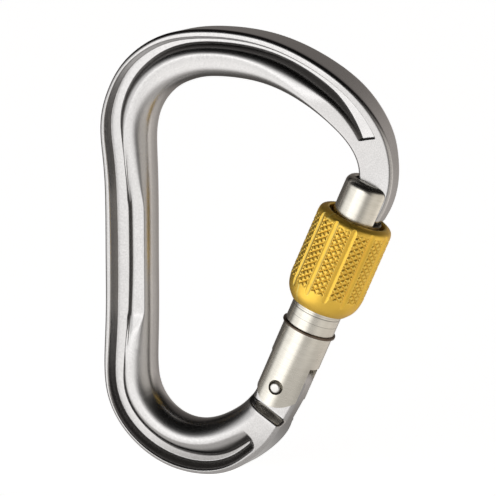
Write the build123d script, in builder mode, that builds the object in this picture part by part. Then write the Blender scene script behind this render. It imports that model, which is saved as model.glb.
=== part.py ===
from build123d import *
import math
import os

# Screw-gate locking carabiner, offset-D pattern, millimetres.
# +Z up, +X towards the gate side, Y through the thickness; the whole object is
# centred on Y = 0.  The origin is where a rope bears in the wide (upper) basket.
os.makedirs("parts", exist_ok=True)

# ---- driving dimensions -------------------------------------------------
body_half = 5.15          # half thickness of the forged body
inner_round = 3.2         # rounding of the rope-bearing edges
outer_round = 1.0         # rounding of the outside edges
nose_half = 2.65          # half thickness of the nose
tongue_half = 2.67        # half thickness of the hinge tongue
slot_half = 2.85          # half width of the gate's two slots

pin_x, pin_z = 15.5, -68.0        # hinge rivet axis, parallel to Y
gate_lean = 24.0                  # gate axis from vertical, degrees
gate_open = 40.0                  # gate opening, degrees
barrel_r = 5.70
barrel_top_r = 5.62
barrel_top = 50.5                 # distances along the gate axis from the rivet
neck_at = 33.0                    # where the slimmer top cylinder starts
bottom_arc_r, bottom_arc_c = 6.2, 1.7
top_slot_floor = 42.1
top_slot_wall = -3.35
low_slot_top = 6.5
groove_lo, groove_hi, groove_r = 13.92, 14.68, 5.42
ring_lo, ring_hi, ring_in, ring_out = 14.0, 14.6, 5.5, 6.2
rivet_r, rivet_half = 1.69, 4.6
tongue_bore_r = 1.75

sleeve_lo, sleeve_len = 19.8, 22.2
sleeve_r, thread_bore_r, mouth_r = 8.6, 5.76, 6.55
flutes, flute_cut_r, flute_depth = 12, 1.0, 0.35

bore_r, bore_top = 2.02, 24.0     # spring bore inside the gate
plunger_r, plunger_centre = 1.95, 6.6
cam_rise = 2.0                    # plunger lift, mm per radian of opening
cam_gap = 0.10
plunger_shoulder, stem_r, stem_end = 10.1, 1.0, 13.0
wire_r, coil_r, coil_turns = 0.24, 1.62, 10

# ---- reference planes ---------------------------------------------------
lean = math.radians(gate_lean)
AX = Vector(math.sin(lean), 0, math.cos(lean))      # along the gate, upwards
PX = Vector(math.cos(lean), 0, -math.sin(lean))     # across the gate, outwards
PIN = Vector(pin_x, 0, pin_z)
side = Plane(origin=PIN, x_dir=PX, z_dir=(0, -1, 0))   # local x across, y along
xz = Plane(origin=(0, 0, 0), x_dir=(1, 0, 0), z_dir=(0, -1, 0))


def across(h):
    """Plane square to the gate axis, h from the rivet."""
    return Plane(origin=PIN + AX * h, x_dir=PX, z_dir=AX)


def g(p, a):
    """Gate coordinates (across, along) to X, Z."""
    v = PIN + PX * p + AX * a
    return (v.X, v.Z)


# ---- outline of the body in the X-Z plane -------------------------------
outer_pts = [
    g(5.35, 42.9), g(5.75, 47.0), (41.45, -21.2), (41.35, -16.6), (40.3, -12.0),
    (37.9, -7.3), (34.2, -2.7), (29.1, 1.6), (23.8, 4.85), (18.6, 7.3),
    (13.3, 9.1), (8.0, 10.2), (2.7, 10.72), (-2.5, 10.75), (-8.0, 10.15),
    (-13.2, 8.6), (-17.9, 5.9), (-22.1, 1.9), (-25.1, -3.3), (-26.75, -8.5),
    (-27.1, -13.4), (-26.65, -18.4), (-26.2, -23.6), (-26.02, -30.0),
    (-26.0, -42.0), (-26.05, -54.0), (-26.3, -60.5), (-26.45, -66.5),
    (-25.8, -72.3), (-23.7, -77.5), (-20.1, -82.1), (-15.2, -85.9),
    (-9.7, -88.3), (-4.2, -89.2), (1.0, -88.9), (5.3, -87.5), (9.0, -85.2),
    (13.6, -81.0), (16.9, -76.0), g(5.05, -1.5), g(5.2, 0.6),
]
inner_pts = [
    g(-2.6, 42.9), g(-2.75, 47.0), g(-3.0, 50.3), (33.0, -17.6), (30.9, -13.5),
    (27.5, -9.9), (23.3, -6.7), (18.9, -4.2), (14.5, -2.3), (10.0, -0.98),
    (5.3, -0.25), (0.0, 0.0), (-3.5, -0.25), (-6.9, -1.15), (-10.0, -2.65),
    (-12.7, -5.1), (-14.7, -8.5), (-15.6, -12.6), (-15.65, -17.0),
    (-15.5, -21.5), (-15.38, -28.0), (-15.36, -42.0), (-15.38, -55.0),
    (-15.5, -60.5), (-15.55, -65.3), (-15.0, -69.6), (-13.1, -73.2),
    (-9.6, -76.1), (-5.1, -77.3), (-0.6, -76.6), (3.2, -74.85), (5.8, -73.1),
    (7.6, -71.4), g(-5.3, -4.2), g(-5.15, -1.8), g(-5.25, 0.6),
]


def cam_point(psi):
    """Cam surface that a round-nosed plunger follows, in gate coordinates."""
    r = plunger_centre + cam_rise * psi
    cx, ca = -r * math.sin(psi), r * math.cos(psi)
    tx = -cam_rise * math.sin(psi) - r * math.cos(psi)
    ta = cam_rise * math.cos(psi) - r * math.sin(psi)
    n = math.hypot(tx, ta)
    nx, na = ta / n, -tx / n
    k = plunger_r + cam_gap
    return (cx - k * nx, ca - k * na)


cam = [cam_point(math.radians(d)) for d in (-6, 4, 14, 24, 34, 44)]
cam_left = [(-4.75, 3.2), (-5.2, 1.7), (-5.25, 0.6)]
tongue_top = ([(5.2, 0.6), (5.25, 2.5), (4.75, 3.75), (3.7, 4.75), (2.7, 4.95), (1.7, 4.65)]
              + cam + cam_left)

with BuildPart() as body:
    with BuildSketch(xz):
        with BuildLine():
            outer_edge = Spline(*outer_pts)
            Line(outer_pts[0], inner_pts[0])
            inner_edge = Spline(*inner_pts)
            Line(inner_pts[-1], outer_pts[-1])
        make_face()
    extrude(amount=body_half, both=True)
    long_edges = body.edges().filter_by(
        lambda e: e.length > 100 and abs(abs(e.center().Y) - body_half) < 0.01
    ).sort_by(SortBy.LENGTH)
    fillet(long_edges[:2], inner_round)
    long_edges = body.edges().filter_by(
        lambda e: e.length > 200 and abs(abs(e.center().Y) - body_half) < 0.01
    ).sort_by(SortBy.LENGTH)
    fillet(long_edges[-2:], outer_round)

# nose end: both faces slope down to the nose thickness
taper_o = Vector(36.5, 0, -21.0)
taper_d = Vector(-0.43, 0, 0.903).normalized()      # up along the limb
taper_e = Vector(taper_d.Z, 0, -taper_d.X)          # across the limb
with BuildPart() as nose_cut:
    with BuildSketch(Plane(origin=taper_o - taper_e * 20, x_dir=taper_d, z_dir=taper_e)):
        with BuildLine():
            Polyline((-22, nose_half), (1.0, nose_half), (4.0, nose_half + 0.22),
                     (19.0, body_half - 0.16), (22.5, body_half + 0.02),
                     (22.5, 9), (-22, 9), close=True)
        make_face()
        mirror(about=Plane.XZ)
    extrude(amount=40)
# hinge end: tongue between the gate's cheeks, with a drafted shoulder
with BuildPart() as tongue_cut:
    with BuildSketch(side.offset(tongue_half)):
        with BuildLine():
            Polyline((-9, -4.6), (-9, 9), (9, 9), (9, -7.7), close=True)
        make_face()
    extrude(amount=6, taper=0)
    with BuildSketch(side.offset(-tongue_half)):
        with BuildLine():
            Polyline((-9, -4.6), (-9, 9), (9, 9), (9, -7.7), close=True)
        make_face()
    extrude(amount=-6, taper=0)


def rail(u0, u1, n, off, end_off=None):
    """Points inside the outer edge, off from it, between two fractions of it."""
    pts = []
    for i in range(n + 1):
        u = u0 + (u1 - u0) * i / n
        p, t = outer_edge.position_at(u), outer_edge.tangent_at(u)
        o = off(u) if callable(off) else off
        pts.append((p.X - t.Y * o, p.Y + t.X * o))
    return pts


def ease(u, lo, hi):
    t = min(1.0, max(0.0, (u - lo) / (hi - lo)))
    return t * t * (3 - 2 * t)


ch0, ch1 = 0.088, 0.93             # fractions of the outer edge where the channel ends
sp0, sp1 = 0.53, 0.665             # the shallow spine stretch between the deep ones


def outer_wall(u):
    return 1.75 - 0.45 * ease(u, 0.70, 0.82) + 0.5 * (1 - ease(u, ch0, ch0 + 0.06))


def inner_wall(u):
    return (4.9 + 2.6 * ease(u, 0.50, 0.55) - 1.9 * ease(u, 0.65, 0.70)
            - 0.3 * (1 - ease(u, ch0, ch0 + 0.08)) - 0.4 * ease(u, 0.88, ch1))



def channel(u0, u1, n, inset):
    a = rail(u0, u1, n, lambda u: outer_wall(u) + inset)
    b = rail(u0, u1, n, lambda u: inner_wall(u) - inset)
    return a, b


with BuildPart() as pockets:
    for lo, hi, n, depth, inset in ((ch0, ch1, 30, 1.0, 0.0),
                                    (ch0 + 0.03, sp0 - 0.02, 14, 2.4, 0.6),
                                    (sp1 + 0.02, ch1 - 0.012, 10, 2.4, 0.6)):
        a, b = channel(lo, hi, n, inset)
        for s in (1, -1):
            with BuildSketch(xz.offset(s * (body_half - depth))):
                with BuildLine():
                    Spline(*a)
                    Line(a[-1], b[-1])
                    Spline(*b)
                    Line(b[0], a[0])
                make_face()
            extrude(amount=s * 4)

with BuildPart() as body_done:
    add(body.part)
    add(nose_cut.part, mode=Mode.SUBTRACT)
    add(tongue_cut.part, mode=Mode.SUBTRACT)
    add(pockets.part, mode=Mode.SUBTRACT)
    # rounded top of the tongue, with the cam that works the plunger
    with BuildSketch(side):
        with BuildLine():
            Spline(*tongue_top)
            Polyline(tongue_top[-1], (-4.0, -1.0), (4.0, -1.0), tongue_top[0])
        make_face()
    extrude(amount=tongue_half, both=True)
    with BuildSketch(side):
        Circle(tongue_bore_r)
    extrude(amount=10, both=True, mode=Mode.SUBTRACT)

body_done.part.label = "body"
export_step(body_done.part, "parts/body.step")

# ---- gate barrel ----------------------------------------------------------
with BuildPart() as gate_barrel:
    with BuildSketch(across(-6)):
        Circle(barrel_r)
    extrude(amount=neck_at + 6)
    with BuildSketch(across(neck_at)):
        Circle(barrel_top_r)
    extrude(amount=barrel_top - neck_at)
    fillet(gate_barrel.faces().sort_by(lambda f: f.center().Z)[-1].edges(), 1.7)
    # lower end is rounded across the gate so that it clears the body as it swings
    with BuildSketch(side):
        with BuildLine():
            Polyline((-7, 60), (7, 60), (7, bottom_arc_c), (-7, bottom_arc_c), close=True)
        make_face()
        with Locations((0, bottom_arc_c)):
            Circle(bottom_arc_r)
    extrude(amount=7, both=True, mode=Mode.INTERSECT)
    # slot for the nose, open at the top and on the outer side
    with BuildSketch(side):
        with BuildLine():
            Polyline((top_slot_wall, 60), (top_slot_wall, top_slot_floor),
                     (9, top_slot_floor), (9, 60), close=True)
        make_face()
    extrude(amount=slot_half, both=True, mode=Mode.SUBTRACT)
    # slot for the hinge tongue, open at the bottom and on both sides
    with BuildSketch(side):
        with BuildLine():
            Polyline((-9, -9), (-9, low_slot_top), (9, low_slot_top), (9, -9), close=True)
        make_face()
    extrude(amount=slot_half, both=True, mode=Mode.SUBTRACT)
    # spring bore
    with BuildSketch(across(0)):
        Circle(bore_r)
    extrude(amount=bore_top, mode=Mode.SUBTRACT)
    # rivet hole
    with BuildSketch(side):
        Circle(rivet_r)
    extrude(amount=10, both=True, mode=Mode.SUBTRACT)
    # stop-ring groove
    with BuildSketch(across(groove_lo)):
        Circle(barrel_r + 1)
        Circle(groove_r, mode=Mode.SUBTRACT)
    extrude(amount=groove_hi - groove_lo, mode=Mode.SUBTRACT)
gate_barrel.part.label = "gate_barrel"
export_step(gate_barrel.part, "parts/gate_barrel.step")

# ---- hinge rivet ----------------------------------------------------------
with BuildPart() as hinge_rivet:
    with BuildSketch(side):
        Circle(rivet_r)
    extrude(amount=rivet_half, both=True)
    chamfer(hinge_rivet.edges().filter_by(GeomType.CIRCLE), 0.2)
hinge_rivet.part.label = "hinge_rivet"
export_step(hinge_rivet.part, "parts/hinge_rivet.step")

# ---- spring plunger: round nose below, guide stem above --------------------
with BuildPart() as spring_plunger:
    with BuildSketch(side):
        with BuildLine():
            Line((0, plunger_centre - plunger_r), (0, stem_end))
            Line((0, stem_end), (stem_r, stem_end))
            Line((stem_r, stem_end), (stem_r, plunger_shoulder))
            Line((stem_r, plunger_shoulder), (plunger_r, plunger_shoulder))
            Line((plunger_r, plunger_shoulder), (plunger_r, plunger_centre))
            CenterArc((0, plunger_centre), plunger_r, -90, 90)
        make_face()
    revolve(axis=Axis(PIN, AX))
spring_plunger.part.label = "spring_plunger"
export_step(spring_plunger.part, "parts/spring_plunger.step")

# ---- gate spring: round-wire compression spring -----------------------------
spring_lo, spring_hi = plunger_shoulder + wire_r + 0.02, bore_top - wire_r - 0.02
with BuildPart() as gate_spring:
    with BuildLine():
        coil = Helix(pitch=(spring_hi - spring_lo) / coil_turns,
                     height=spring_hi - spring_lo, radius=coil_r,
                     center=PIN + AX * spring_lo, direction=AX)
    with BuildSketch(Plane(origin=coil @ 0, z_dir=coil % 0)):
        Circle(wire_r)
    sweep(path=coil, is_frenet=True)
gate_spring.part.label = "gate_spring"
export_step(gate_spring.part, "parts/gate_spring.step")

# ---- locking sleeve ---------------------------------------------------------
L = sleeve_len
with BuildPart() as locking_sleeve:
    with BuildSketch(Plane(origin=PIN + AX * sleeve_lo, x_dir=PX, z_dir=(0, -1, 0))):
        with BuildLine():
            Line((thread_bore_r, 0), (thread_bore_r, 11.0))
            Line((thread_bore_r, 11.0), (mouth_r, 11.8))
            Line((mouth_r, 11.8), (mouth_r, L - 0.5))
            Line((mouth_r, L - 0.5), (mouth_r + 0.4, L))
            Line((mouth_r + 0.4, L), (sleeve_r - 1.6, L))
            Spline((sleeve_r - 1.6, L), (sleeve_r - 0.35, L - 0.7), (sleeve_r, L - 2.2),
                   tangents=((1, 0), (0, -1)))
            Line((sleeve_r, L - 2.2), (sleeve_r, 5.0))
            Spline((sleeve_r, 5.0), (sleeve_r - 0.75, 1.9), (sleeve_r - 2.2, 0),
                   tangents=((0, -1), (-0.8, -0.6)))
            Line((sleeve_r - 2.2, 0), (thread_bore_r, 0))
        make_face()
    revolve(axis=Axis(PIN, AX))
    # straight finger flutes
    with BuildSketch(across(sleeve_lo + 3.6)):
        with PolarLocations(sleeve_r + flute_cut_r - flute_depth, flutes, start_angle=20.9):
            Circle(flute_cut_r)
    extrude(amount=L - 5.4 - 0.6, mode=Mode.SUBTRACT)
locking_sleeve.part.label = "locking_sleeve"
export_step(locking_sleeve.part, "parts/locking_sleeve.step")

# ---- stop ring: split snap ring in the groove -------------------------------
with BuildPart() as stop_ring:
    with BuildSketch(across(ring_lo)):
        Circle(ring_out)
        Circle(ring_in, mode=Mode.SUBTRACT)
        with Locations((0, 6)):
            Rectangle(1.0, 3.0, mode=Mode.SUBTRACT)
    extrude(amount=ring_hi - ring_lo)
    fillet(stop_ring.edges().filter_by(lambda e: e.length > 20), 0.2)
stop_ring.part.label = "stop_ring"
export_step(stop_ring.part, "parts/stop_ring.step")

for n, b in (("body", body_done), ("gate_barrel", gate_barrel), ("hinge_rivet", hinge_rivet),
             ("spring_plunger", spring_plunger), ("gate_spring", gate_spring),
             ("locking_sleeve", locking_sleeve), ("stop_ring", stop_ring)):
    bb = b.part.bounding_box()
    print(n, len(b.part.solids()), round(b.part.volume, 2), b.part.is_valid, bb.min, bb.max)
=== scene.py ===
import math
import bpy, bmesh
import numpy as np
from mathutils import Vector, Matrix


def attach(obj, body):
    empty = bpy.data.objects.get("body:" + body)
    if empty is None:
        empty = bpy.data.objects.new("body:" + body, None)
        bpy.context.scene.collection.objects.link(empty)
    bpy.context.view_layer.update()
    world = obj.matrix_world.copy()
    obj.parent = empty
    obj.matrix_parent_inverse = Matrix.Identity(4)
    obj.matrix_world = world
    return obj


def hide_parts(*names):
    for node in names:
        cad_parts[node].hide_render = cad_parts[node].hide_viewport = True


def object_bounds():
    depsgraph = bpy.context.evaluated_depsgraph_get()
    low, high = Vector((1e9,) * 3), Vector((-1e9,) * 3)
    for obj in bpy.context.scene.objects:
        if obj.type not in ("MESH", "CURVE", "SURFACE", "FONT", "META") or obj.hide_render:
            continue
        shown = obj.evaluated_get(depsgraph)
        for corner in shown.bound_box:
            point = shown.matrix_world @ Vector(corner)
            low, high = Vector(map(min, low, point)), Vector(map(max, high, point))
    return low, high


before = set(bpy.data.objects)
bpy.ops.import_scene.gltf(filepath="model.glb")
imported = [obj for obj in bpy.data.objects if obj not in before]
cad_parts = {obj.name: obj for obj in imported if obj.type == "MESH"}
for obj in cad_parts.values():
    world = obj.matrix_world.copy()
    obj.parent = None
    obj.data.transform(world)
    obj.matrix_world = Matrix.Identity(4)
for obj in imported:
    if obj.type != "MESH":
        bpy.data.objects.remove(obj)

cad_box = [list(c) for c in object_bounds()]

MM = 0.001
# ------------------------------------------------------------------ frame data
LEAN = math.radians(24.0)
PIN = np.array([15.5, 0.0, -68.0])
AX = np.array([math.sin(LEAN), 0.0, math.cos(LEAN)])
PX = np.array([math.cos(LEAN), 0.0, -math.sin(LEAN)])
YX = np.array([0.0, 1.0, 0.0])
BODY_H = 5.15
NOSE_H = 2.65
TONGUE_H = 2.67


def g(p, a):
    v = PIN + PX * p + AX * a
    return (v[0], v[2])


def ease(u, lo, hi):
    t = np.clip((u - lo) / (hi - lo), 0.0, 1.0)
    return t * t * (3 - 2 * t)


def spline(pts, n):
    """Natural cubic through pts, sampled evenly by length: points (n, 2)."""
    P = np.array(pts, float)
    k = np.concatenate([[0], np.cumsum(np.linalg.norm(np.diff(P, axis=0), axis=1))])
    m = len(P)
    h = np.diff(k)
    A = np.zeros((m, m)); R = np.zeros((m, 2))
    A[0, 0] = A[-1, -1] = 1
    for i in range(1, m - 1):
        A[i, i - 1] = h[i - 1]; A[i, i] = 2 * (h[i - 1] + h[i]); A[i, i + 1] = h[i]
        R[i] = 6 * ((P[i + 1] - P[i]) / h[i] - (P[i] - P[i - 1]) / h[i - 1])
    M = np.linalg.solve(A, R)
    t = np.linspace(0, k[-1], 12000)
    j = np.clip(np.searchsorted(k, t, side="right") - 1, 0, m - 2)
    dt = (t - k[j])[:, None]; H = h[j][:, None]
    c = (P[j + 1] - P[j]) / H - H * (2 * M[j] + M[j + 1]) / 6
    S = P[j] + dt * (c + dt * (M[j] / 2 + dt * (M[j + 1] - M[j]) / (6 * H)))
    L = np.concatenate([[0], np.cumsum(np.linalg.norm(np.diff(S, axis=0), axis=1))])
    u = np.linspace(0, L[-1], n)
    return np.stack([np.interp(u, L, S[:, 0]), np.interp(u, L, S[:, 1])], 1), L[-1]


# ------------------------------------------------------------------ mesh helpers
def new_object(name, verts, faces, mat, body, smooth=True, mats=None, mat_index=None, painted_shade_values=None):
    me = bpy.data.meshes.new(name)
    me.from_pydata([tuple(v) for v in (np.asarray(verts) * MM)], [], [tuple(int(i) for i in f) for f in faces])
    me.validate()
    me.update()
    ob = bpy.data.objects.new(name, me)
    bpy.context.scene.collection.objects.link(ob)
    for m in (mats or [mat]):
        me.materials.append(m)
    if mat_index is not None:
        me.polygons.foreach_set("material_index", np.asarray(mat_index, np.int32))
    if smooth:
        me.polygons.foreach_set("use_smooth", np.ones(len(me.polygons), bool))
    # painted shade per vertex, kept as the recess attribute, which darkens the base colour
    if painted_shade_values is not None:
        at = me.attributes.new("painted_recess_shade", "FLOAT", "POINT")
        at.data.foreach_set("value", np.asarray(painted_shade_values, np.float32))
    bm = bmesh.new(); bm.from_mesh(me)
    bmesh.ops.remove_doubles(bm, verts=bm.verts, dist=2e-7)
    bmesh.ops.recalc_face_normals(bm, faces=bm.faces)
    bm.to_mesh(me); bm.free()
    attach(ob, body)
    return ob


def grid_faces(rows, cols, wrap_r=False, wrap_c=False, off=0):
    f = []
    for i in range(rows if wrap_r else rows - 1):
        for j in range(cols if wrap_c else cols - 1):
            a = off + i * cols + j
            b = off + i * cols + (j + 1) % cols
            c = off + ((i + 1) % rows) * cols + (j + 1) % cols
            d = off + ((i + 1) % rows) * cols + j
            f.append((a, b, c, d))
    return f


def revolve(profile, n, a0=0.0):
    """(r, a) profile turned about the gate axis: vertices in row millimetres."""
    V = []
    for (r, a) in profile:
        for k in range(n):
            t = a0 + 2 * math.pi * k / n
            V.append(PIN + AX * a + PX * (r * math.cos(t)) + YX * (r * math.sin(t)))
    return np.array(V)


# ------------------------------------------------------------------ outlines (same points as the solid)
outer_pts = [
    g(5.35, 42.9), g(5.75, 47.0), (41.45, -21.2), (41.35, -16.6), (40.3, -12.0),
    (37.9, -7.3), (34.2, -2.7), (29.1, 1.6), (23.8, 4.85), (18.6, 7.3),
    (13.3, 9.1), (8.0, 10.2), (2.7, 10.72), (-2.5, 10.75), (-8.0, 10.15),
    (-13.2, 8.6), (-17.9, 5.9), (-22.1, 1.9), (-25.1, -3.3), (-26.75, -8.5),
    (-27.1, -13.4), (-26.65, -18.4), (-26.2, -23.6), (-26.02, -30.0),
    (-26.0, -42.0), (-26.05, -54.0), (-26.3, -60.5), (-26.45, -66.5),
    (-25.8, -72.3), (-23.7, -77.5), (-20.1, -82.1), (-15.2, -85.9),
    (-9.7, -88.3), (-4.2, -89.2), (1.0, -88.9), (5.3, -87.5), (9.0, -85.2),
    (13.6, -81.0), (16.9, -76.0), g(5.05, -1.5), g(5.2, 0.6),
]
inner_pts = [
    g(-2.6, 42.9), g(-2.75, 47.0), g(-3.0, 50.3), (33.0, -17.6), (30.9, -13.5),
    (27.5, -9.9), (23.3, -6.7), (18.9, -4.2), (14.5, -2.3), (10.0, -0.98),
    (5.3, -0.25), (0.0, 0.0), (-3.5, -0.25), (-6.9, -1.15), (-10.0, -2.65),
    (-12.7, -5.1), (-14.7, -8.5), (-15.6, -12.6), (-15.65, -17.0),
    (-15.5, -21.5), (-15.38, -28.0), (-15.36, -42.0), (-15.38, -55.0),
    (-15.5, -60.5), (-15.55, -65.3), (-15.0, -69.6), (-13.1, -73.2),
    (-9.6, -76.1), (-5.1, -77.3), (-0.6, -76.6), (3.2, -74.85), (5.8, -73.1),
    (7.6, -71.4), g(-5.3, -4.2), g(-5.15, -1.8), g(-5.25, 0.6),
]


# ------------------------------------------------------------------ forged body
def make_body(mat):
    NO = 4000
    O, LO = spline(outer_pts, NO)
    I, LI = spline(inner_pts, 1600)
    T = np.gradient(I, axis=0)
    T /= np.linalg.norm(T, axis=1)[:, None]
    N = np.stack([T[:, 1], -T[:, 0]], 1)                   # into the metal
    # outer point met by each inner normal
    hit = np.zeros(len(I))
    lo = 0
    for i in range(len(I)):
        D = O - I[i]
        cr = N[i, 0] * D[:, 1] - N[i, 1] * D[:, 0]
        dt = D @ N[i]
        ok = np.where((cr[:-1] * cr[1:] <= 0) & (dt[:-1] > 2) & (dt[:-1] < 22))[0]
        if len(ok):
            k = ok[np.argmin(dt[ok])]
            hit[i] = k + cr[k] / (cr[k] - cr[k + 1] + 1e-12)
        else:
            hit[i] = np.nan
    hit[0], hit[-1] = 0, NO - 1
    good = ~np.isnan(hit)
    hit = np.interp(np.arange(len(I)), np.arange(len(I))[good], hit[good])
    hit = np.maximum.accumulate(hit)
    ker = np.ones(41) / 41
    pad = np.concatenate([2 * hit[0] - hit[1:21][::-1], hit, 2 * hit[-1] - hit[-21:-1][::-1]])
    hit = np.convolve(pad, ker, "valid")
    hit = np.clip(np.maximum.accumulate(hit), 0, NO - 1)
    # stations, spaced by the mean of both edges, closer at the hinge shoulder
    fo = hit / (NO - 1)
    li = np.linspace(0, LI, len(I))
    tau = 0.5 * (fo * LO + li)
    dens = 1 + 2.2 * np.exp(-((li - (LI - 6.0)) / 4.0) ** 2) + 0.8 * np.exp(-((fo - 0.088) / 0.012) ** 2) \
        + 0.8 * np.exp(-((fo - 0.93) / 0.012) ** 2)
    cum = np.concatenate([[0], np.cumsum(0.5 * (dens[1:] + dens[:-1]) * np.diff(tau))])
    NS = 820
    idx = np.interp(np.linspace(0, cum[-1], NS), cum, np.arange(len(I)))
    Ii = np.stack([np.interp(idx, np.arange(len(I)), I[:, k]) for k in (0, 1)], 1)
    ho = np.interp(idx, np.arange(len(I)), hit)
    Oo = np.stack([np.interp(ho, np.arange(NO), O[:, k]) for k in (0, 1)], 1)
    u = ho / (NO - 1)
    v = idx / (len(I) - 1)
    w = np.linalg.norm(Oo - Ii, axis=1)
    n = (Oo - Ii) / w[:, None]

    # rope-side rounding and outside rounding
    Ri = 1.2 + 3.8 * ease(v, 0.115, 0.30)
    Ri = Ri - 3.6 * ease(v, 0.952, 0.975)
    nR = 2.25 - 0.2 * ease(v, 0.12, 0.3)
    ro = 0.95 + 0 * u
    NI, NF, NW, NQ = 26, 76, 8, 4
    th = np.linspace(0, math.pi / 2, NI + 1)[:-1]
    cols_x, cols_f = [], []
    for t in th:
        cols_x.append(Ri * (1 - np.cos(t) ** (2 / nR)))
        cols_f.append(np.sin(t) ** (2 / nR) * np.ones(NS))
    for j in range(NF + 1):
        cols_x.append(Ri + (w - ro - Ri) * j / NF)
        cols_f.append(np.ones(NS))
    for t in np.linspace(0, math.pi / 2, NW + 1)[1:]:
        cols_x.append(w - ro + ro * np.sin(t))
        cols_f.append(-np.cos(t) * np.ones(NS))            # marks outside rounding
    X = np.stack(cols_x, 1); F = np.stack(cols_f, 1)
    NC = X.shape[1]
    e = w[:, None] - X
    P = Ii[:, None, :] + n[:, None, :] * X[:, :, None]     # (NS, NC, 2) in X, Z
    U = u[:, None]
    # half thickness allowed at each point: nose taper and hinge shoulder
    d = (-0.43 * (P[..., 0] - 36.5) + 0.903 * (P[..., 1] + 21.0)) / math.hypot(0.43, 0.903)
    cap = NOSE_H + (BODY_H - NOSE_H) * np.clip((d - 1.6) / 19.0, 0, 1)
    tt = np.clip((d - 1.6) / 19.0, -0.2, 1.2)
    soft = 0.10
    cap = NOSE_H + (BODY_H - NOSE_H) * (
        (np.sqrt(tt ** 2 + soft ** 2) + tt) / 2 - (np.sqrt((tt - 1) ** 2 + soft ** 2) + (tt - 1)) / 2)
    cap = np.where(U < 0.3, cap, BODY_H)
    rel_x, rel_z = P[..., 0] - PIN[0], P[..., 1] - PIN[2]
    pp = rel_x * PX[0] + rel_z * PX[2]
    aa = rel_x * AX[0] + rel_z * AX[2]
    sh = aa - (-5.25 - 0.175 * (pp + 5.3))                 # above the shoulder line
    ts = np.clip((sh + 1.15) / 1.05, -1.2, 2.2)
    k2 = 0.24
    step = (np.sqrt(ts ** 2 + k2 ** 2) + ts) / 2 - (np.sqrt((ts - 1) ** 2 + k2 ** 2) + (ts - 1)) / 2
    step = np.where(v[:, None] > 0.8, step, 0)
    cap = cap - (cap - TONGUE_H) * np.clip(step, 0, 1)

    def smax(a, b, r):
        h = np.clip(0.5 + 0.5 * (a - b) / r, 0, 1)
        return b * (1 - h) + a * h + r * h * (1 - h)

    def smin(a, b, r):
        return -smax(-a, -b, r)

    # channel plan, measured from the outside edge
    def tab(xs, ys):
        xs, ys = np.array(xs), np.array(ys)
        q = np.clip(u, xs[0], xs[-1])
        k = np.clip(np.searchsorted(xs, q, side="right") - 1, 0, len(xs) - 2)
        t = (q - xs[k]) / (xs[k + 1] - xs[k])
        t = t * t * (3 - 2 * t)
        return (ys[k] + (ys[k + 1] - ys[k]) * t)[:, None]

    c0, c1 = 0.091, 0.930
    us = [0.08, 0.16, 0.30, 0.42, 0.50, 0.595, 0.66, 0.74, 0.84, 0.93]
    e_o = tab(us, [2.30, 1.85, 1.65, 1.10, 1.30, 1.50, 1.38, 0.96, 0.95, 1.50])
    e_i = tab(us, [5.55, 5.20, 4.95, 5.60, 6.30, 6.50, 6.10, 5.40, 5.65, 5.10])
    k_o = tab(us, [4.00, 4.10, 4.20, 5.20, 3.60, 3.20, 3.10, 2.80, 1.60, 1.40])
    k_i = tab(us, [1.90, 1.55, 1.45, 1.10, 0.80, 0.75, 0.85, 1.45, 1.80, 1.70])
    floor = tab([0.08, 0.11, 0.16, 0.93], [2.95, 2.80, 2.65, 2.65])
    # inner bar pressed flat along the spine, ramping out at both ends
    zt = Ii[:, 1]
    def ramp_up(x, r):
        return (x + np.sqrt(x * x + r * r)) / 2
    press = 3.72 + ramp_up((zt + 29.5) * 0.125, 0.12) + ramp_up((-54.0 - zt) * 0.20, 0.12)
    press = np.where((u > 0.38) & (u < 0.80), np.minimum(press, BODY_H + 1.5), BODY_H + 1.5)[:, None]
    on = 1 - np.clip((press - 3.80) / 1.45, 0, 1)

    base = cap * np.where(F >= 0, F, 1.0)
    inner_level = smin(base, press, 0.16 + 1.1 * (1 - on))
    turn = np.clip(1 - (c1 - U) * LO / 1.5, 0, 1)
    turn = 1.5 * (1 - np.sqrt(1 - turn ** 2))
    e_o = e_o + turn; e_i = e_i - turn
    sO = (U - c0) * LO - 0.45 * (e - 2.2)
    sE = (c1 - U) * LO
    SI = 0.25 + 1.15 * (1 - on); SO = 0.55
    wall_i = smin(inner_level, inner_level - k_i * (e_i - e), SI)
    # on the bends the rope bar is round all the way into the channel
    ec = w[:, None] - Ri[:, None]
    e_f = tab(us, [3.10, 3.00, 2.95, 3.70, 4.60, 5.05, 4.60, 3.60, 4.05, 3.90])
    ao = (ec - e_f) / 0.857
    sq = np.clip((ec - e) / ao, 0, 1)
    round_i = cap * np.sqrt(1 - sq ** 2)
    mr_ = ((ease(u, 0.11, 0.24) * (1 - ease(u, 0.90, 0.94)))[:, None]) * (1 - on)
    wall_i = wall_i * (1 - mr_) + np.where(e < ec, round_i, inner_level) * mr_
    wall_o = smin(cap + 0 * e, cap - k_o * (e - e_o), SO)
    end_a = smin(cap + 0 * e, cap - 2.3 * sO, 0.10)
    end_b = smin(cap + 0 * e, cap - 1.45 * sE, 0.10)
    chan = smax(wall_o, wall_i, 0.10)
    chan = smax(chan, np.where(U < 0.5, end_a, -9), 0.25)
    chan = smax(chan, np.where(U > 0.5, end_b, -9), 1.1)
    chan = smax(chan, floor + 0 * e, 0.22)
    H = np.minimum(chan, np.maximum(base, 0))
    inner_only = smin(base, press, 0.16 + 1.1 * (1 - on))
    H = np.where(e > 0.5 * (e_o + e_i), np.minimum(H, inner_only), H)
    # outside rounding
    out = F < 0
    capo = cap
    H = np.where(out, capo - ro[:, None] * (1 + F), H)
    H = np.maximum(H, 0.0)
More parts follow.
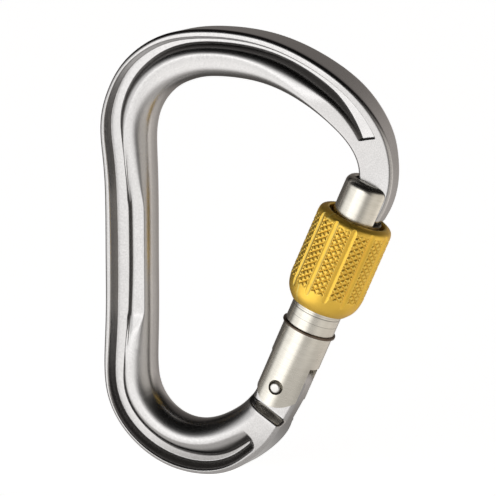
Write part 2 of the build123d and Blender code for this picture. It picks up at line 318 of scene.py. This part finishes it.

    # painted shade: the steep walls inside the channel are darkened in the base colour, standing in for the shade
    # that falls there
    mid = 0.5 * (e_o + e_f)
    top_i = np.where(on > 0.5, press, cap)
    top_i = np.minimum(press, cap)
    hf = np.where(e < mid, (H - floor) / np.maximum(cap - floor, 0.2), (H - floor) / np.maximum(top_i - floor, 0.2))
    painted_shade = ease(H - floor, 0.01, 0.14) * (1 - ease(hf, 0.70, 0.96))
    side = 1 - 0.72 * ease(U, 0.33, 0.39) * (1 - ease(U, 0.66, 0.73))
    painted_shade = painted_shade * np.where(e < mid, side, 1.0)
    painted_shade = painted_shade * ease(e, e_o - 0.3, e_o) * (1 - ease(e, np.maximum(ec, e_i), np.maximum(ec, e_i) + 0.4))
    painted_shade = painted_shade * ease(U, c0 - 0.004, c0) * (1 - ease(U, c1, c1 + 0.004))
    painted_shade = np.where(out, 0.0, painted_shade)
    # painted shade: a dark band along the hinge shoulder line, where the shoulder wall faces up
    shoulder_band_shade = np.clip(4 * step * (1 - step), 0, 1) * np.where(out, 0.0, 1.0)
    painted_shade = np.maximum(painted_shade, 0.55 * shoulder_band_shade)

    # loop: front half from inner mid line to outer mid line, then back half
    wallf = np.linspace(1, 0, NQ + 1)[1:]                  # outside wall down to the mid plane
    front = [(P[:, j, 0], -H[:, j], P[:, j, 1]) for j in range(NC)]
    Hl = H[:, -1]
    for q in wallf:
        bow = 0.0
        front.append((P[:, -1, 0] + n[:, 0] * bow, -Hl * q, P[:, -1, 1] + n[:, 1] * bow))
    # the far face leans in towards the outside corner of the hinge shoulder
    lean = 1.9 * np.exp(-(np.minimum(sh, 0) / 2.6) ** 2) * (1 - ease(e, 0.4, 4.2)) * (v[:, None] > 0.85)
    lean = np.minimum(lean, np.maximum(H - TONGUE_H, 0))
    back = [(x, -y, z) for (x, y, z) in front]
    for j in range(len(back)):
        k = min(j, NC - 1)
        q = 1.0 if j < NC else wallf[j - NC]
        back[j] = (back[j][0], back[j][1] - lean[:, k] * q, back[j][2])
    back = back[1:-1][::-1]
    ring = front + back
    V = np.stack([np.stack(c, 1) for c in ring], 1)        # (NS, NCOL, 3)
    NCOL = V.shape[1]
    # painted shade of the channel walls, copied onto the front and back columns of the loop
    painted_shade_cols = np.zeros((NS, NCOL))
    painted_shade_cols[:, :NC] = painted_shade
    painted_shade_cols[:, NCOL - NC + 1:] = painted_shade[:, 1:][:, ::-1]
    rows = [V[i] for i in range(NS)]

    # rounded end of the nose
    r0 = rows[0]
    ctr = r0.mean(0)
    extra = []
    for t in (0.30, 0.60, 0.85, 1.0):
        a = t * math.pi / 2
        s_in = 0.55 * (1 - math.cos(a)); fwd = 0.55 * math.sin(a)
        rel = r0 - ctr
        px = rel @ PX; py = rel[:, 1]
        hw, hy = np.abs(px).max(), np.abs(py).max()
        q = ctr + np.outer(px * (1 - s_in / hw), PX) + np.outer(py * (1 - s_in / hy), YX)
        q = q + np.outer((r0 - ctr) @ AX, AX) * 1.0 - AX * (fwd - 0.55)
        extra.append(q)
    # first row pulled back so that the end stays at its place
    base0 = r0 + AX * 0.55
    rows = extra[::-1] + [base0] + rows[3:]
    # rounded top of the hinge tongue
    top = np.array([(-5.25, 0.6), (-5.2, 1.7), (-4.75, 3.2)] + [tuple(q) for q in cam_pts()[::-1]]
                   + [(1.7, 4.65), (2.7, 4.95), (3.7, 4.75), (4.75, 3.75), (5.22, 2.5), (5.24, 0.6)])
    last = rows[-1]
    rel = last - PIN
    lp, la = rel @ PX, rel @ AX
    Tp, _ = spline([tuple(q) for q in top], 400)
    pin_p = np.clip(lp, -5.249, 5.239)
    order = np.argsort(Tp[:, 0])
    Ap = np.interp(pin_p, Tp[order, 0], Tp[order, 1])
    Ap = np.maximum(Ap, 0.7)
    for lam in (0.2, 0.4, 0.6, 0.8, 0.93, 1.0):
        aN = la + (Ap - la) * lam
        yy = rel[:, 1] * (1.0 if lam < 1 else 0.93)
        rows.append(PIN + np.outer(lp, PX) + np.outer(aN, AX) + np.outer(yy, YX))
    NR = len(rows)
    verts = np.concatenate(rows, 0)
    painted_shade_values = np.concatenate([np.repeat(painted_shade_cols[:1], 5, 0), painted_shade_cols[3:], np.repeat(painted_shade_cols[-1:], 6, 0)], 0).ravel()
    faces = grid_faces(NR, NCOL, wrap_c=True)
    # caps: front column j faces back column (NCOL - j)
    half = len(front) - 1
    for r, flip in ((0, True), (NR - 1, False)):
        o = r * NCOL
        for j in range(0, half):
            a, b = o + j, o + j + 1
            c, dd = o + (NCOL - j - 1) % NCOL, o + (NCOL - j) % NCOL
            if j == 0:
                faces.append((a, b, c))
            elif j == half - 1:
                faces.append((a, b, dd))
            else:
                faces.append((a, b, c, dd))
    ob = new_object("forged_body", verts, faces, mat, "frame", painted_shade_values=painted_shade_values)
    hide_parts("body")
    return ob


def cam_pts():
    out = []
    for dg in (-6, 4, 14, 24, 34, 44):
        psi = math.radians(dg)
        r = 6.6 + 2.0 * psi
        cx, ca = -r * math.sin(psi), r * math.cos(psi)
        tx = -2.0 * math.sin(psi) - r * math.cos(psi)
        ta = 2.0 * math.cos(psi) - r * math.sin(psi)
        m = math.hypot(tx, ta)
        out.append((cx - 2.05 * ta / m, ca + 2.05 * tx / m))
    return out


# ------------------------------------------------------------------ locking sleeve
def curve_r(pts, a):
    """Radius along a natural cubic through (r, a) points."""
    P, _ = spline(pts, 400)
    o = np.argsort(P[:, 1])
    return np.interp(a, P[o, 1], P[o, 0])


def make_sleeve(mat):
    LO, L = 19.8, 22.2
    NT = 704
    # outside: fine rows over the grip
    b = np.concatenate([np.linspace(0.0, 4.2, 26)[:-1], np.linspace(4.2, L - 1.0, 150)[:-1],
                        np.linspace(L - 1.0, L, 20)])
    low = curve_r([(6.4, 0.0), (7.85, 1.9), (8.6, 5.0)], b)
    hi = curve_r([(7.0, L), (8.25, L - 0.7), (8.6, L - 2.2)], b)
    r0 = np.where(b < 5.0, low, np.where(b > L - 2.2, hi, 8.6))
    th = 2 * math.pi * np.arange(NT) / NT
    A, TH = np.meshgrid(b, th, indexing="ij")
    R = np.repeat(r0[:, None], NT, 1)
    # diamond knurl: two crossing families of grooves
    kc = 30
    lead = 0.645
    p1 = TH * kc / (2 * math.pi) + A * lead
    p2 = TH * kc / (2 * math.pi) - A * lead
    def tri(p):
        f = p - np.floor(p)
        return 1 - np.abs(2 * f - 1)
    t1 = np.clip(tri(p1) / 0.55, 0, 1)
    t2 = np.clip(tri(p2) / 0.55, 0, 1)
    kn = np.minimum(t1, t2)
    kn = kn * (1.25 - 0.25 * kn)
    # a smooth foot: the grip starts and ends in a soft line
    g0 = ease(A, 4.3, 5.3)
    g1 = 1 - ease(A, L - 2.15, L - 1.2)
    NFL = 12
    FLUTE0 = math.radians(20.9)
    fl = TH * NFL / (2 * math.pi) - FLUTE0 * NFL / (2 * math.pi)
    df = np.abs(fl - np.round(fl)) * 2 * math.pi / NFL * 8.6      # mm from a flute's middle
    # flutes: straight cut with pointed ends
    head = np.clip((A - 3.3) / 2.8, 0, 1) * np.clip((L - 0.75 - A) / 1.6, 0, 1)
    depth = 0.36 * np.sqrt(np.clip(head, 0, 1))
    rc = 1.0
    cut = depth - (rc - np.sqrt(np.clip(rc * rc - df * df, 0, None)))
    cut = np.where(df < rc, np.maximum(cut, 0), 0)
    edge = np.clip((df - 0.72) / 0.12, 0, 1)
    kd = 0.30 * (1 - kn) * g0 * g1 * edge
    R = R - np.maximum(kd, cut)
    # inside of the sleeve: thread, step, mouth, rim
    V = []
    for i in range(len(b)):
        a = LO + b[i]
        V.append(PIN + AX * a + np.outer(R[i] * np.cos(th), PX) + np.outer(R[i] * np.sin(th), YX))
    inner = [(6.78, L - 0.02), (6.62, L - 0.12), (6.56, L - 0.30), (6.55, L - 0.8), (6.55, 11.9), (6.50, 11.8),
             (5.95, 11.1), (5.80, 10.9)]
    # thread turns in the lower bore
    a0 = 10.8
    while a0 > 0.7:
        inner += [(5.78, a0), (5.98, a0 - 0.22), (5.98, a0 - 0.30), (5.78, a0 - 0.52)]
        a0 -= 0.75
    inner += [(5.80, 0.45), (6.0, 0.12), (6.15, 0.0)]
    for (r, a) in inner:
        V.append(PIN + AX * (LO + a) + np.outer(r * np.cos(th), PX) + np.outer(r * np.sin(th), YX))
    rows = len(V)
    verts = np.concatenate(V, 0)
    faces = grid_faces(rows, NT, wrap_r=True, wrap_c=True)
    ob = new_object("locking_sleeve_grip", verts, faces, mat, "sleeve")
    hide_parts("locking_sleeve")
    return ob


# ------------------------------------------------------------------ hinge rivet: a peened stub off to one side of a deep hole
def make_rivet(mat):
    R, N = 1.68, 56
    # (radius, y, share of the sideways offset): shank, then a peened stub off to one side
    half = [(R, 1.0, 0), (R, 2.9, 0), (1.20, 2.9, 1), (1.20, 5.05, 1), (1.16, 5.17, 1), (1.04, 5.25, 1), (0.80, 5.29, 1), (0.40, 5.30, 1)]
    off = PX * (-0.17) + AX * (-0.41)
    prof = [(r, -y, o) for r, y, o in reversed(half)] + half
    V = []
    for r, y, o in prof:
        for k in range(N):
            t = 2 * math.pi * k / N
            V.append(PIN + off * o + PX * (r * math.cos(t)) + AX * (r * math.sin(t)) + YX * y)
    V += [PIN + off - YX * 5.30, PIN + off + YX * 5.30]
    n = len(prof)
    F = grid_faces(n, N, wrap_c=True)
    a, b = n * N, n * N + 1
    for k in range(N):
        F.append((a, (k + 1) % N, k))
        F.append((b, (n - 1) * N + k, (n - 1) * N + (k + 1) % N))
    ob = new_object("hinge_rivet_peened", np.array(V), F, mat, "gate")
    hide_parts("hinge_rivet")
    return ob


# ------------------------------------------------------------------ materials
def nodes_of(name):
    m = bpy.data.materials.new(name)
    m.use_nodes = True
    nt = m.node_tree
    nt.nodes.clear()
    out = nt.nodes.new("ShaderNodeOutputMaterial")
    b = nt.nodes.new("ShaderNodeBsdfPrincipled")
    nt.links.new(b.outputs["BSDF"], out.inputs["Surface"])
    return m, nt, b


def add(nt, kind, **kw):
    n = nt.nodes.new(kind)
    for k, v in kw.items():
        if k in n.inputs:
            n.inputs[k].default_value = v
        else:
            setattr(n, k, v)
    return n


def ramp(nt, stops, src):
    r = nt.nodes.new("ShaderNodeValToRGB")
    e = r.color_ramp.elements
    while len(e) < len(stops):
        e.new(0.5)
    for k, (pos, col) in zip(e, stops):
        k.position = pos
        k.color = (*col, 1) if len(col) == 3 else col
    nt.links.new(src, r.inputs["Fac"])
    return r


def gate_frame(nt):
    """Object position turned so that Z runs along the gate."""
    tc = nt.nodes.new("ShaderNodeTexCoord")
    mp = nt.nodes.new("ShaderNodeMapping")
    mp.vector_type = "POINT"
    mp.inputs["Rotation"].default_value = (0, -LEAN, 0)
    nt.links.new(tc.outputs["Object"], mp.inputs["Vector"])
    return mp.outputs["Vector"]


def metal_body():
    m, nt, b = nodes_of("forged_aluminium_grey")
    tc = nt.nodes.new("ShaderNodeTexCoord")
    P = tc.outputs["Object"]
    # fine grain of the tumbled, clear-anodised skin over broad soft cloudiness
    n1 = add(nt, "ShaderNodeTexNoise", Scale=3600.0, Detail=3.0, Roughness=0.65)
    nt.links.new(P, n1.inputs["Vector"])
    n2 = add(nt, "ShaderNodeTexNoise", Scale=170.0, Detail=4.0, Roughness=0.55)
    nt.links.new(P, n2.inputs["Vector"])
    col = ramp(nt, [(0.34, (0.500, 0.491, 0.486)), (0.50, (0.545, 0.536, 0.531)), (0.68, (0.59, 0.58, 0.575))],
               n1.outputs["Fac"])
    tone = ramp(nt, [(0.35, (0.97, 0.97, 0.97)), (0.65, (1.0, 1.0, 1.0))], n2.outputs["Fac"])
    mul = add(nt, "ShaderNodeMix", data_type="RGBA", blend_type="MULTIPLY")
    mul.inputs["Factor"].default_value = 1.0
    nt.links.new(col.outputs["Color"], mul.inputs["A"]); nt.links.new(tone.outputs["Color"], mul.inputs["B"])
    # painted shade: the recess attribute darkens the base colour on the channel walls and along the hinge shoulder
    at = add(nt, "ShaderNodeAttribute", attribute_name="painted_recess_shade")
    dark = ramp(nt, [(0.0, (1.0, 1.0, 1.0)), (1.0, (0.30, 0.295, 0.29))], at.outputs["Fac"])
    mul2 = add(nt, "ShaderNodeMix", data_type="RGBA", blend_type="MULTIPLY")
    mul2.inputs["Factor"].default_value = 1.0
    nt.links.new(mul.outputs["Result"], mul2.inputs["A"]); nt.links.new(dark.outputs["Color"], mul2.inputs["B"])
    nt.links.new(mul2.outputs["Result"], b.inputs["Base Color"])
    rr = add(nt, "ShaderNodeMapRange")
    rr.inputs["To Min"].default_value = 0.25; rr.inputs["To Max"].default_value = 0.28
    nt.links.new(n2.outputs["Fac"], rr.inputs["Value"])
    nt.links.new(rr.outputs["Result"], b.inputs["Roughness"])
    b.inputs["Metallic"].default_value = 1.0
    bp = add(nt, "ShaderNodeBump")
    bp.inputs["Strength"].default_value = 0.10
    bp.inputs["Distance"].default_value = 0.00003
    nt.links.new(n1.outputs["Fac"], bp.inputs["Height"])
    nt.links.new(bp.outputs["Normal"], b.inputs["Normal"])
    return m


def metal_gold():
    m, nt, b = nodes_of("gold_anodised_aluminium")
    v = gate_frame(nt)
    n1 = add(nt, "ShaderNodeTexNoise", Scale=4200.0, Detail=3.0, Roughness=0.6)
    nt.links.new(v, n1.inputs["Vector"])
    n2 = add(nt, "ShaderNodeTexNoise", Scale=220.0, Detail=3.0)
    nt.links.new(v, n2.inputs["Vector"])
    geo = nt.nodes.new("ShaderNodeNewGeometry")
    # painted shade in the knurl grooves and flutes, painted highlight with wear on the crests: base colour set by
    # pointiness
    wear = ramp(nt, [(0.40, (0.55, 0.29, 0.022)), (0.50, (0.97, 0.625, 0.09)), (0.60, (1.0, 0.79, 0.22))],
                geo.outputs["Pointiness"])
    tone = ramp(nt, [(0.35, (0.93, 0.92, 0.88)), (0.65, (1.0, 1.0, 1.0))], n2.outputs["Fac"])
    mul = add(nt, "ShaderNodeMix", data_type="RGBA", blend_type="MULTIPLY")
    mul.inputs["Factor"].default_value = 1.0
    nt.links.new(wear.outputs["Color"], mul.inputs["A"]); nt.links.new(tone.outputs["Color"], mul.inputs["B"])
    nt.links.new(mul.outputs["Result"], b.inputs["Base Color"])
    rr = add(nt, "ShaderNodeMapRange")
    rr.inputs["To Min"].default_value = 0.36; rr.inputs["To Max"].default_value = 0.46
    nt.links.new(n1.outputs["Fac"], rr.inputs["Value"])
    nt.links.new(rr.outputs["Result"], b.inputs["Roughness"])
    b.inputs["Metallic"].default_value = 0.85
    bp = add(nt, "ShaderNodeBump")
    bp.inputs["Strength"].default_value = 0.20
    bp.inputs["Distance"].default_value = 0.00003
    nt.links.new(n1.outputs["Fac"], bp.inputs["Height"])
    nt.links.new(bp.outputs["Normal"], b.inputs["Normal"])
    return m


def metal_turned(name, dark, light, r_lo, r_hi, fine=2600.0, strength=0.16, lines=()):
    """Turned or drawn metal with fine lines round the gate axis."""
    m, nt, b = nodes_of(name)
    v = gate_frame(nt)
    mp = add(nt, "ShaderNodeMapping")
    mp.inputs["Scale"].default_value = (0.12, 0.12, 1.0)
    nt.links.new(v, mp.inputs["Vector"])
    n1 = add(nt, "ShaderNodeTexNoise", Scale=fine, Detail=3.0, Roughness=0.55)
    nt.links.new(mp.outputs["Vector"], n1.inputs["Vector"])
    n2 = add(nt, "ShaderNodeTexNoise", Scale=180.0, Detail=3.0)
    nt.links.new(v, n2.inputs["Vector"])
    mix = add(nt, "ShaderNodeMath", operation="MULTIPLY_ADD")
    nt.links.new(n1.outputs["Fac"], mix.inputs[0]); mix.inputs[1].default_value = 0.6
    sc = add(nt, "ShaderNodeMath", operation="MULTIPLY"); sc.inputs[1].default_value = 0.4
    nt.links.new(n2.outputs["Fac"], sc.inputs[0]); nt.links.new(sc.outputs[0], mix.inputs[2])
    col = ramp(nt, [(0.32, dark), (0.66, light)], mix.outputs[0])
    tinted = col.outputs["Color"]
    sz = nt.nodes.new("ShaderNodeSeparateXYZ")
    nt.links.new(v, sz.inputs[0])
    for a, wide, deep in lines:                             # dark rings round the gate: painted shade at the edge under the sleeve, faint marks lower down
        d = add(nt, "ShaderNodeMath", operation="SUBTRACT")
        nt.links.new(sz.outputs["Z"], d.inputs[0]); d.inputs[1].default_value = (a + float(AX @ PIN)) * MM
        ab = add(nt, "ShaderNodeMath", operation="ABSOLUTE")
        nt.links.new(d.outputs[0], ab.inputs[0])
        k = add(nt, "ShaderNodeMapRange", interpolation_type="SMOOTHSTEP")
        k.inputs["From Min"].default_value = wide * 0.4 * MM; k.inputs["From Max"].default_value = wide * MM
        k.inputs["To Min"].default_value = 1 - deep; k.inputs["To Max"].default_value = 1.0
        nt.links.new(ab.outputs[0], k.inputs["Value"])
        sc2 = add(nt, "ShaderNodeVectorMath", operation="SCALE")
        nt.links.new(tinted, sc2.inputs[0]); nt.links.new(k.outputs["Result"], sc2.inputs["Scale"])
        tinted = sc2.outputs["Vector"]
    nt.links.new(tinted, b.inputs["Base Color"])
    rr = add(nt, "ShaderNodeMapRange")
    rr.inputs["To Min"].default_value = r_lo; rr.inputs["To Max"].default_value = r_hi
    nt.links.new(n2.outputs["Fac"], rr.inputs["Value"])
    nt.links.new(rr.outputs["Result"], b.inputs["Roughness"])
    b.inputs["Metallic"].default_value = 1.0
    bp = add(nt, "ShaderNodeBump")
    bp.inputs["Strength"].default_value = strength
    bp.inputs["Distance"].default_value = 0.00003
    nt.links.new(n1.outputs["Fac"], bp.inputs["Height"])
    nt.links.new(bp.outputs["Normal"], b.inputs["Normal"])
    return m


def wear(node, mat):
    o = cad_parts[node]
    o.data.materials.clear()
    o.data.materials.append(mat)


# ------------------------------------------------------------------ camera, light, floor
def soft_light(name, loc, target, size, power, col=(1, 1, 1), size_y=None):
    d = bpy.data.lights.new(name, "AREA")
    d.shape = "RECTANGLE"
    d.size = size; d.size_y = size_y or size
    d.energy = power; d.color = col
    o = bpy.data.objects.new(name, d)
    bpy.context.scene.collection.objects.link(o)
    o.location = loc
    o.rotation_mode = "QUATERNION"
    o.rotation_quaternion = (Vector(target) - Vector(loc)).to_track_quat("-Z", "Y")
    return o


TGT = Vector((0.0067, 0.0, -0.0381))
PHI, EPS = math.radians(22.0), math.radians(8.5)
BACK = Vector((math.sin(PHI) * math.cos(EPS), -math.cos(PHI) * math.cos(EPS), math.sin(EPS)))
RIGHT = Vector((math.cos(PHI), math.sin(PHI), 0.0))
UPV = BACK.cross(RIGHT)


def toward(az, el):
    az, el = math.radians(az), math.radians(el)
    return (math.sin(az) * math.cos(el), -math.cos(az) * math.cos(el), math.sin(el))


def surroundings(nt, vec):
    """What the metal mirrors, by direction: a white panel in front and to the left, a beige one on the right,
    a dim far side, a light table below and a dark ceiling."""
    sx = nt.nodes.new("ShaderNodeSeparateXYZ")
    nt.links.new(vec, sx.inputs[0])

    def lobe(direction, lo, hi, colour):
        d = add(nt, "ShaderNodeVectorMath", operation="DOT_PRODUCT")
        nt.links.new(vec, d.inputs[0]); d.inputs[1].default_value = direction
        m = add(nt, "ShaderNodeMapRange", interpolation_type="SMOOTHSTEP")
        m.inputs["From Min"].default_value = lo; m.inputs["From Max"].default_value = hi
        nt.links.new(d.outputs["Value"], m.inputs["Value"])
        s = add(nt, "ShaderNodeVectorMath", operation="SCALE")
        s.inputs[0].default_value = colour
        nt.links.new(m.outputs["Result"], s.inputs["Scale"])
        return s.outputs["Vector"]

    parts = [lobe(toward(-34, -10), 0.58, 0.84, (1.00, 1.00, 1.00)),
             lobe(toward(78, -6), 0.66, 0.93, (0.60, 0.57, 0.53)),
             lobe(toward(145, -10), 0.50, 0.85, (0.27, 0.25, 0.235)),
             lobe((-0.10, -0.50, -0.86), 0.35, 0.85, (0.50, 0.49, 0.48)),
             lobe(toward(125, -28), 0.76, 0.95, (0.31, 0.295, 0.28))]
    total = None
    for p in parts:
        if total is None:
            total = p
            continue
        n = add(nt, "ShaderNodeVectorMath", operation="ADD")
        nt.links.new(total, n.inputs[0]); nt.links.new(p, n.inputs[1])
        total = n.outputs["Vector"]
    low = add(nt, "ShaderNodeVectorMath", operation="ADD")
    nt.links.new(total, low.inputs[0]); low.inputs[1].default_value = (0.10, 0.094, 0.088)
    up = add(nt, "ShaderNodeMapRange", interpolation_type="SMOOTHSTEP")
    up.inputs["From Min"].default_value = 0.16; up.inputs["From Max"].default_value = 0.52
    up.inputs["To Min"].default_value = 1.0; up.inputs["To Max"].default_value = 0.03
    nt.links.new(sx.outputs["Z"], up.inputs["Value"])
    res = add(nt, "ShaderNodeVectorMath", operation="SCALE")
    nt.links.new(low.outputs["Vector"], res.inputs[0]); nt.links.new(up.outputs["Result"], res.inputs["Scale"])
    rear = add(nt, "ShaderNodeVectorMath", operation="ADD")
    nt.links.new(res.outputs["Vector"], rear.inputs[0])
    nt.links.new(lobe(toward(180, 22), 0.62, 0.95, (0.125, 0.113, 0.106)), rear.inputs[1])
    return rear.outputs["Vector"]


def cam_and_light():
    D = 0.80
    cd = bpy.data.cameras.new("view")
    cd.sensor_width = 36.0
    cd.lens = 36.0 * D / 0.1102
    cd.clip_start, cd.clip_end = 0.05, 20.0
    c = bpy.data.objects.new("view", cd)
    bpy.context.scene.collection.objects.link(c)
    c.location = TGT + BACK * D
    c.rotation_mode = "QUATERNION"
    c.rotation_quaternion = (-BACK).to_track_quat("-Z", "Y")
    bpy.context.scene.camera = c

    w = bpy.data.worlds.new("studio")
    bpy.context.scene.world = w
    w.use_nodes = True
    nt = w.node_tree
    nt.nodes.clear()
    out = nt.nodes.new("ShaderNodeOutputWorld")
    tc = nt.nodes.new("ShaderNodeTexCoord")
    tent = nt.nodes.new("ShaderNodeBackground")
    nt.links.new(surroundings(nt, tc.outputs["Generated"]), tent.inputs["Color"])
    seen = nt.nodes.new("ShaderNodeBackground")
    seen.inputs["Color"].default_value = (1.0, 1.0, 1.0, 1)
    lp = nt.nodes.new("ShaderNodeLightPath")
    mx = nt.nodes.new("ShaderNodeMixShader")
    nt.links.new(lp.outputs["Is Camera Ray"], mx.inputs["Fac"])
    nt.links.new(tent.outputs[0], mx.inputs[1]); nt.links.new(seen.outputs[0], mx.inputs[2])
    nt.links.new(mx.outputs[0], out.inputs["Surface"])

    # soft panels: a broad one in front
    soft_light("front", TGT + Vector((-0.30, -0.95, -0.02)), TGT, 0.55, 0.9, size_y=0.5)

    # floor under the object, lighter close by
    z = cad_box[0][2] - 0.00005
    me = bpy.data.meshes.new("floor")
    me.from_pydata([(-6, -6, z), (6, -6, z), (6, 6, z), (-6, 6, z)], [], [(0, 1, 2, 3)])
    fl = bpy.data.objects.new("floor", me)
    bpy.context.scene.collection.objects.link(fl)
    m, nt, b = nodes_of("pale_floor")
    out = [n for n in nt.nodes if n.type == "OUTPUT_MATERIAL"][0]
    b.inputs["Base Color"].default_value = (0.90, 0.90, 0.90, 1)
    b.inputs["Roughness"].default_value = 0.9
    b.inputs["Specular IOR Level"].default_value = 0.0
    b.inputs["Emission Color"].default_value = (1, 1, 1, 1)
    b.inputs["Emission Strength"].default_value = 0.93
    geo = nt.nodes.new("ShaderNodeNewGeometry")
    sub = add(nt, "ShaderNodeVectorMath", operation="SUBTRACT")
    nt.links.new(geo.outputs["Position"], sub.inputs[0]); sub.inputs[1].default_value = TGT
    nrm = add(nt, "ShaderNodeVectorMath", operation="NORMALIZE")
    nt.links.new(sub.outputs["Vector"], nrm.inputs[0])
    em = nt.nodes.new("ShaderNodeEmission")
    nt.links.new(surroundings(nt, nrm.outputs["Vector"]), em.inputs["Color"])
    lp = nt.nodes.new("ShaderNodeLightPath")
    mx = nt.nodes.new("ShaderNodeMixShader")
    nt.links.new(lp.outputs["Is Camera Ray"], mx.inputs["Fac"])
    nt.links.new(em.outputs[0], mx.inputs[1]); nt.links.new(b.outputs[0], mx.inputs[2])
    nt.links.new(mx.outputs[0], out.inputs["Surface"])
    me.materials.append(m)
    bpy.context.scene.view_settings.view_transform = "Standard"


aluminium = metal_body()
gold = metal_gold()
# nickel barrel: the two rings just under the sleeve are painted shade at its lower edge, the lowest one a faint
# mark on the barrel
nickel = metal_turned("nickel_satin", (0.72, 0.690, 0.615), (0.83, 0.800, 0.720), 0.24, 0.30, strength=0.07,
                      lines=((16.9, 0.10, 0.35), (18.7, 0.14, 0.6), (19.2, 0.10, 0.3)))
steel = metal_turned("rivet_steel_bright", (0.58, 0.57, 0.55), (0.72, 0.71, 0.69), 0.26, 0.36)
spring = metal_turned("spring_steel_grey", (0.33, 0.33, 0.34), (0.48, 0.48, 0.49), 0.26, 0.36)
bronze = metal_turned("ring_bronze_dark", (0.115, 0.085, 0.065), (0.20, 0.155, 0.12), 0.34, 0.46)

make_body(aluminium)
make_sleeve(gold)
make_rivet(steel)
wear("gate_barrel", nickel)
wear("gate_spring", spring)
wear("spring_plunger", spring)
wear("stop_ring", bronze)
cam_and_light()
